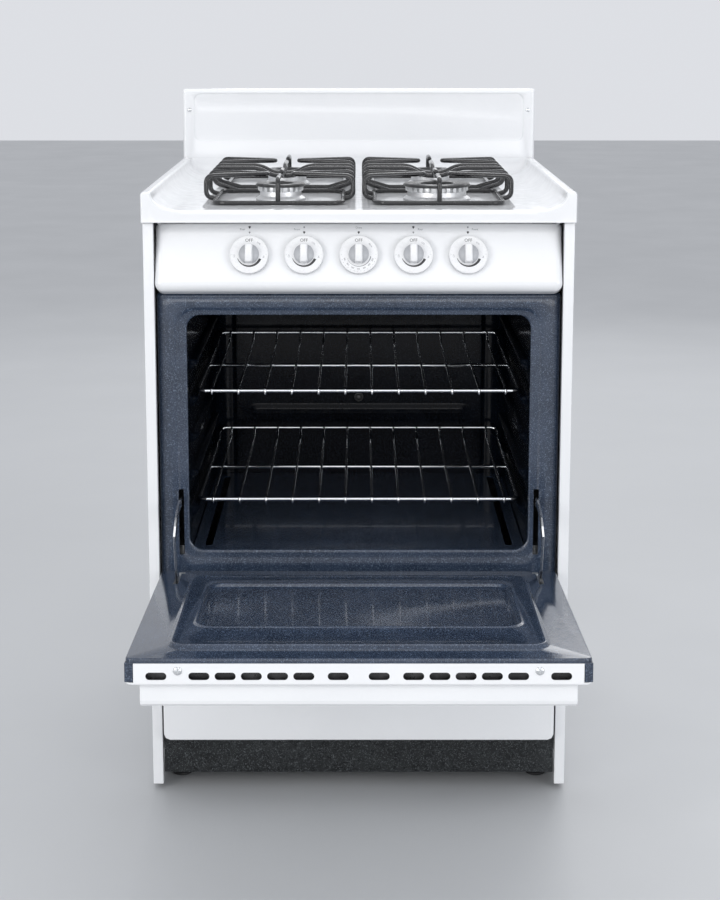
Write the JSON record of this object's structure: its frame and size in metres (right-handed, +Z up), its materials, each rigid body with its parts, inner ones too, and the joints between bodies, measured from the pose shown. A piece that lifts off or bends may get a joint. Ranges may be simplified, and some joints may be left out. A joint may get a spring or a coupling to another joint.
{
  "type": "freestanding gas range",
  "caption": "Freestanding gas range on levelling feet, with wire grates over open-centre burners, push-and-turn knobs, a drop-down oven door, sliding racks and a broiler drawer.",
  "frame": {"origin": "on the floor, below the middle of the bounding box with the door open", "axes": "+X to the cook's right, +Y to the back, +Z up"},
  "size_m": [0.614, 1.0656, 1.01],
  "materials": {
    "white_enamel": "glossy porcelain enamel",
    "dark_enamel": "glossy dark blue speckled porcelain enamel",
    "kick_enamel": "black speckled enamel",
    "black_enamel": "semi-gloss black enamel",
    "black_steel": "black oxide",
    "aluminium": "cast and machined",
    "chrome": "bright plating",
    "bright_steel": "bright zinc",
    "galvanised_steel": "galvanised",
    "brass": "turned",
    "white_plastic": "moulded",
    "glass_wool": "fibrous"
  },
  "bodies": {
    "cabinet": {"back_panel": "galvanised_steel", "backguard": "white_enamel", "base_frame": "galvanised_steel", "burner_base_front_left": "aluminium", "burner_base_front_right": "aluminium", "burner_base_rear_left": "aluminium", "burner_base_rear_right": "aluminium", "control_panel": "white_enamel", "cooktop": "white_enamel", "flame_baffle": "galvanised_steel", "front_frame": "dark_enamel", "gas_manifold": "aluminium", "gas_regulator": "galvanised_steel", "gas_supply_pipe": "brass", "hinge_bracket_left": "galvanised_steel", "hinge_bracket_right": "galvanised_steel", "kick_panel": "kick_enamel", "liner_fastener": "galvanised_steel", "oven_burner": "galvanised_steel", "oven_floor": "dark_enamel", "oven_insulation": "glass_wool", "oven_liner": "dark_enamel", "side_panel_left": "white_enamel", "side_panel_right": "white_enamel", "thermostat_bulb": "chrome"},
    "door": {"door_outer_panel": "white_enamel", "door_liner": "dark_enamel", "door_insulation": "glass_wool", "door_handle": "white_enamel", "door_arm_left": "bright_steel", "door_arm_right": "bright_steel", "door_screw_left": "bright_steel", "door_screw_right": "bright_steel"},
    "drawer": {"drawer_front": "white_enamel", "broiler_tray": "dark_enamel"},
    "broiler_grid": {"broiler_grid": "dark_enamel"},
    "oven_rack_lower": {"oven_rack_lower": "chrome"},
    "oven_rack_upper": {"oven_rack_upper": "chrome"},
    "grate_front_left": {"grate_front_left": "black_enamel"},
    "burner_cap_front_left": {"burner_cap_front_left": "black_enamel"},
    "levelling_foot_front_left": {"levelling_foot_front_left": "black_steel"},
    "grate_front_right": {"grate_front_right": "black_enamel"},
    "burner_cap_front_right": {"burner_cap_front_right": "black_enamel"},
    "levelling_foot_front_right": {"levelling_foot_front_right": "black_steel"},
    "grate_rear_left": {"grate_rear_left": "black_enamel"},
    "burner_cap_rear_left": {"burner_cap_rear_left": "black_enamel"},
    "levelling_foot_rear_left": {"levelling_foot_rear_left": "black_steel"},
    "grate_rear_right": {"grate_rear_right": "black_enamel"},
    "burner_cap_rear_right": {"burner_cap_rear_right": "black_enamel"},
    "levelling_foot_rear_right": {"levelling_foot_rear_right": "black_steel"},
    "valve_stem_rear_left": {"valve_stem_rear_left": "brass"},
    "knob_rear_left": {"knob_rear_left": "white_plastic"},
    "valve_stem_front_left": {"valve_stem_front_left": "brass"},
    "knob_front_left": {"knob_front_left": "white_plastic"},
    "valve_stem_oven": {"valve_stem_oven": "brass"},
    "knob_oven": {"knob_oven": "white_plastic"},
    "valve_stem_rear_right": {"valve_stem_rear_right": "brass"},
    "knob_rear_right": {"knob_rear_right": "white_plastic"},
    "valve_stem_front_right": {"valve_stem_front_right": "brass"},
    "knob_front_right": {"knob_front_right": "white_plastic"}
  },
  "joints": [
    {"name": "door_hinge", "type": "hinge", "parent": "cabinet", "child": "door", "pos_m": [0, -0.11325, 0.317], "axis": [-1, 0, 0], "range_deg": [0, 87]},
    {"name": "drawer_slide", "type": "slide", "parent": "cabinet", "child": "drawer", "axis": [0, 1, 0], "range_m": [-0.33, 0]},
    {"name": "broiler_grid_lift", "type": "slide", "parent": "drawer", "child": "broiler_grid", "axis": [0, 0, 1], "range_m": [0, 0.03]},
    {"name": "oven_rack_lower_slide", "type": "slide", "parent": "cabinet", "child": "oven_rack_lower", "axis": [0, 1, 0], "range_m": [-0.25, 0]},
    {"name": "oven_rack_upper_slide", "type": "slide", "parent": "cabinet", "child": "oven_rack_upper", "axis": [0, 1, 0], "range_m": [-0.25, 0]},
    {"name": "grate_front_left_lift", "type": "slide", "parent": "cabinet", "child": "grate_front_left", "axis": [0, 0, 1], "range_m": [0, 0.05]},
    {"name": "burner_cap_front_left_lift", "type": "slide", "parent": "cabinet", "child": "burner_cap_front_left", "axis": [0, 0, 1], "range_m": [0, 0.008]},
    {"name": "levelling_foot_front_left_turn", "type": "hinge", "parent": "cabinet", "child": "levelling_foot_front_left", "pos_m": [-0.268, -0.04525, 0], "axis": [0, 0, 1], "range_deg": [-1440, 1440]},
    {"name": "grate_front_right_lift", "type": "slide", "parent": "cabinet", "child": "grate_front_right", "axis": [0, 0, 1], "range_m": [0, 0.05]},
    {"name": "burner_cap_front_right_lift", "type": "slide", "parent": "cabinet", "child": "burner_cap_front_right", "axis": [0, 0, 1], "range_m": [0, 0.008]},
    {"name": "levelling_foot_front_right_turn", "type": "hinge", "parent": "cabinet", "child": "levelling_foot_front_right", "pos_m": [0.268, -0.04525, 0], "axis": [0, 0, 1], "range_deg": [-1440, 1440]},
    {"name": "grate_rear_left_lift", "type": "slide", "parent": "cabinet", "child": "grate_rear_left", "axis": [0, 0, 1], "range_m": [0, 0.05]},
    {"name": "burner_cap_rear_left_lift", "type": "slide", "parent": "cabinet", "child": "burner_cap_rear_left", "axis": [0, 0, 1], "range_m": [0, 0.008]},
    {"name": "levelling_foot_rear_left_turn", "type": "hinge", "parent": "cabinet", "child": "levelling_foot_rear_left", "pos_m": [-0.268, 0.44275, 0], "axis": [0, 0, 1], "range_deg": [-1440, 1440]},
    {"name": "grate_rear_right_lift", "type": "slide", "parent": "cabinet", "child": "grate_rear_right", "axis": [0, 0, 1], "range_m": [0, 0.05]},
    {"name": "burner_cap_rear_right_lift", "type": "slide", "parent": "cabinet", "child": "burner_cap_rear_right", "axis": [0, 0, 1], "range_m": [0, 0.008]},
    {"name": "levelling_foot_rear_right_turn", "type": "hinge", "parent": "cabinet", "child": "levelling_foot_rear_right", "pos_m": [0.268, 0.44275, 0], "axis": [0, 0, 1], "range_deg": [-1440, 1440]},
    {"name": "valve_stem_rear_left_push", "type": "slide", "parent": "cabinet", "child": "valve_stem_rear_left", "axis": [0, 0.9397, -0.342], "range_m": [0, 0.003], "stiffness_N_per_m": 1500},
    {"name": "knob_rear_left_turn", "type": "hinge", "parent": "valve_stem_rear_left", "child": "knob_rear_left", "pos_m": [-0.155, -0.10055, 0.799], "axis": [0, -0.9397, 0.342], "range_deg": [0, 240]},
    {"name": "valve_stem_front_left_push", "type": "slide", "parent": "cabinet", "child": "valve_stem_front_left", "axis": [0, 0.9397, -0.342], "range_m": [0, 0.003], "stiffness_N_per_m": 1500},
    {"name": "knob_front_left_turn", "type": "hinge", "parent": "valve_stem_front_left", "child": "knob_front_left", "pos_m": [-0.0775, -0.10055, 0.799], "axis": [0, -0.9397, 0.342], "range_deg": [0, 240]},
    {"name": "valve_stem_oven_push", "type": "slide", "parent": "cabinet", "child": "valve_stem_oven", "axis": [0, 0.9397, -0.342], "range_m": [0, 0.003], "stiffness_N_per_m": 1500},
    {"name": "knob_oven_turn", "type": "hinge", "parent": "valve_stem_oven", "child": "knob_oven", "pos_m": [0, -0.10055, 0.799], "axis": [0, -0.9397, 0.342], "range_deg": [0, 285]},
    {"name": "valve_stem_rear_right_push", "type": "slide", "parent": "cabinet", "child": "valve_stem_rear_right", "axis": [0, 0.9397, -0.342], "range_m": [0, 0.003], "stiffness_N_per_m": 1500},
    {"name": "knob_rear_right_turn", "type": "hinge", "parent": "valve_stem_rear_right", "child": "knob_rear_right", "pos_m": [0.0775, -0.10055, 0.799], "axis": [0, -0.9397, 0.342], "range_deg": [0, 240]},
    {"name": "valve_stem_front_right_push", "type": "slide", "parent": "cabinet", "child": "valve_stem_front_right", "axis": [0, 0.9397, -0.342], "range_m": [0, 0.003], "stiffness_N_per_m": 1500},
    {"name": "knob_front_right_turn", "type": "hinge", "parent": "valve_stem_front_right", "child": "knob_front_right", "pos_m": [0.155, -0.10055, 0.799], "axis": [0, -0.9397, 0.342], "range_deg": [0, 240]}
  ]
}
